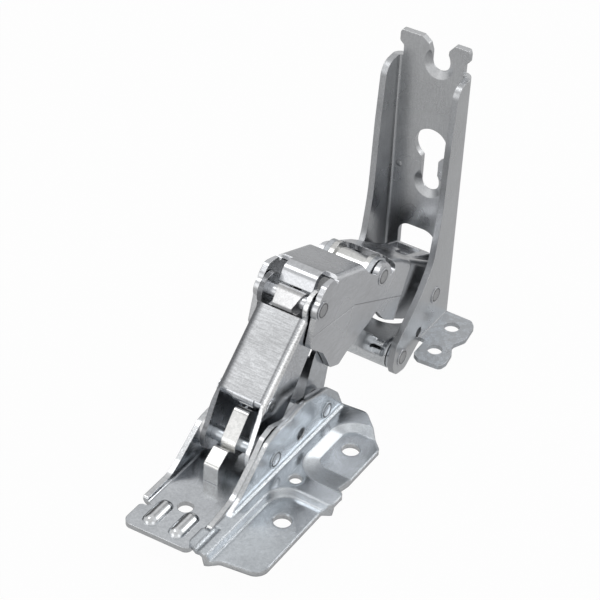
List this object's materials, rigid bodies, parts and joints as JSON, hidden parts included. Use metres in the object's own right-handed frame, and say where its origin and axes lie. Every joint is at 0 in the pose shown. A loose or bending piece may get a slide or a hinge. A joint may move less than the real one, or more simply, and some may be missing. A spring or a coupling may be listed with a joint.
{
  "type": "fridge door hinge",
  "caption": "Folding multi-link steel hinge for a built-in fridge door, fully open, with a channel base, screw wing and slotted door bracket.",
  "frame": {"origin": "centre of the round hole in the base floor, on the mounting face", "axes": "+Z out of the mounting face, +Y from the tongue of the base towards the door bracket, +X along the pins towards the screw wing"},
  "size_m": [0.0471, 0.1393, 0.0983],
  "materials": {
    "channel_zinc": "zinc plated steel",
    "wing_zinc": "zinc plated steel",
    "front_base_pin_steel": "zinc plated steel",
    "rear_base_pin_steel": "zinc plated steel",
    "front_washer_steel": "zinc plated steel",
    "rear_washer_steel": "zinc plated steel",
    "cam_steel": "zinc plated steel",
    "arm_zinc": "zinc plated steel",
    "follower_steel": "zinc plated steel",
    "slider_steel": "zinc plated steel",
    "seat_steel": "zinc plated steel",
    "spring_steel": "zinc plated steel",
    "coupler_zinc": "zinc plated steel",
    "knee_pin_steel": "zinc plated steel",
    "centre_pin_steel": "zinc plated steel",
    "rear_spacer_steel": "zinc plated steel",
    "lever_zinc": "zinc plated steel",
    "doubler_steel": "zinc plated steel",
    "centre_spacer_steel": "zinc plated steel",
    "link_pin_steel": "zinc plated steel",
    "link_zinc": "zinc plated steel",
    "bracket_zinc": "zinc plated steel",
    "bracket_pin_steel": "zinc plated steel",
    "ear_pin_steel": "zinc plated steel",
    "ear_washer_steel": "zinc plated steel"
  },
  "bodies": {
    "base": {"base_channel": "channel_zinc", "base_wing": "wing_zinc", "front_base_pin": "front_base_pin_steel", "rear_base_pin": "rear_base_pin_steel", "front_base_washers": "front_washer_steel", "rear_base_washers": "rear_washer_steel", "closing_cam": "cam_steel"},
    "arm": {"arm_shell": "arm_zinc", "cam_follower": "follower_steel", "cam_slider": "slider_steel", "spring_seat": "seat_steel", "arm_spring": "spring_steel"},
    "coupler": {"coupler_shell": "coupler_zinc", "knee_pin": "knee_pin_steel", "centre_pin": "centre_pin_steel", "rear_spacer": "rear_spacer_steel", "centre_spacer": "centre_spacer_steel"},
    "lever": {"lever_plates": "lever_zinc", "lever_doublers": "doubler_steel", "link_pin": "link_pin_steel"},
    "door_bracket": {"bracket": "bracket_zinc", "bracket_pin": "bracket_pin_steel", "ear_pin": "ear_pin_steel", "ear_washers": "ear_washer_steel"},
    "link": {"link_plate": "link_zinc"}
  },
  "joints": [
    {"name": "arm_pivot", "type": "hinge", "parent": "base", "child": "arm", "pos_m": [0, 0.02358, 0.00866], "axis": [1, 0, 0], "range_deg": [0, 97.13]},
    {"name": "knee_pivot", "type": "hinge", "parent": "arm", "child": "coupler", "pos_m": [0, 0.05023, 0.04229], "axis": [1, 0, 0], "range_deg": [-64.48, 0]},
    {"name": "lever_pivot", "type": "hinge", "parent": "coupler", "child": "lever", "pos_m": [0, 0.08384, 0.03374], "axis": [1, 0, 0], "range_deg": [0, 65.08]},
    {"name": "bracket_pivot", "type": "hinge", "parent": "coupler", "child": "door_bracket", "pos_m": [0, 0.11369, 0.01015], "axis": [1, 0, 0], "range_deg": [0, 57.35]},
    {"name": "ear_pivot", "type": "hinge", "parent": "door_bracket", "child": "link", "pos_m": [0, 0.09495, -0.00221], "axis": [1, 0, 0], "range_deg": [-56.38, 0]}
  ],
  "couplings": [
    {"joint": "knee_pivot", "follows": "arm_pivot", "ratio": -0.66375},
    {"joint": "lever_pivot", "follows": "arm_pivot", "ratio": 0.66993},
    {"joint": "bracket_pivot", "follows": "arm_pivot", "ratio": 0.59034},
    {"joint": "ear_pivot", "follows": "arm_pivot", "ratio": -0.58036}
  ]
}
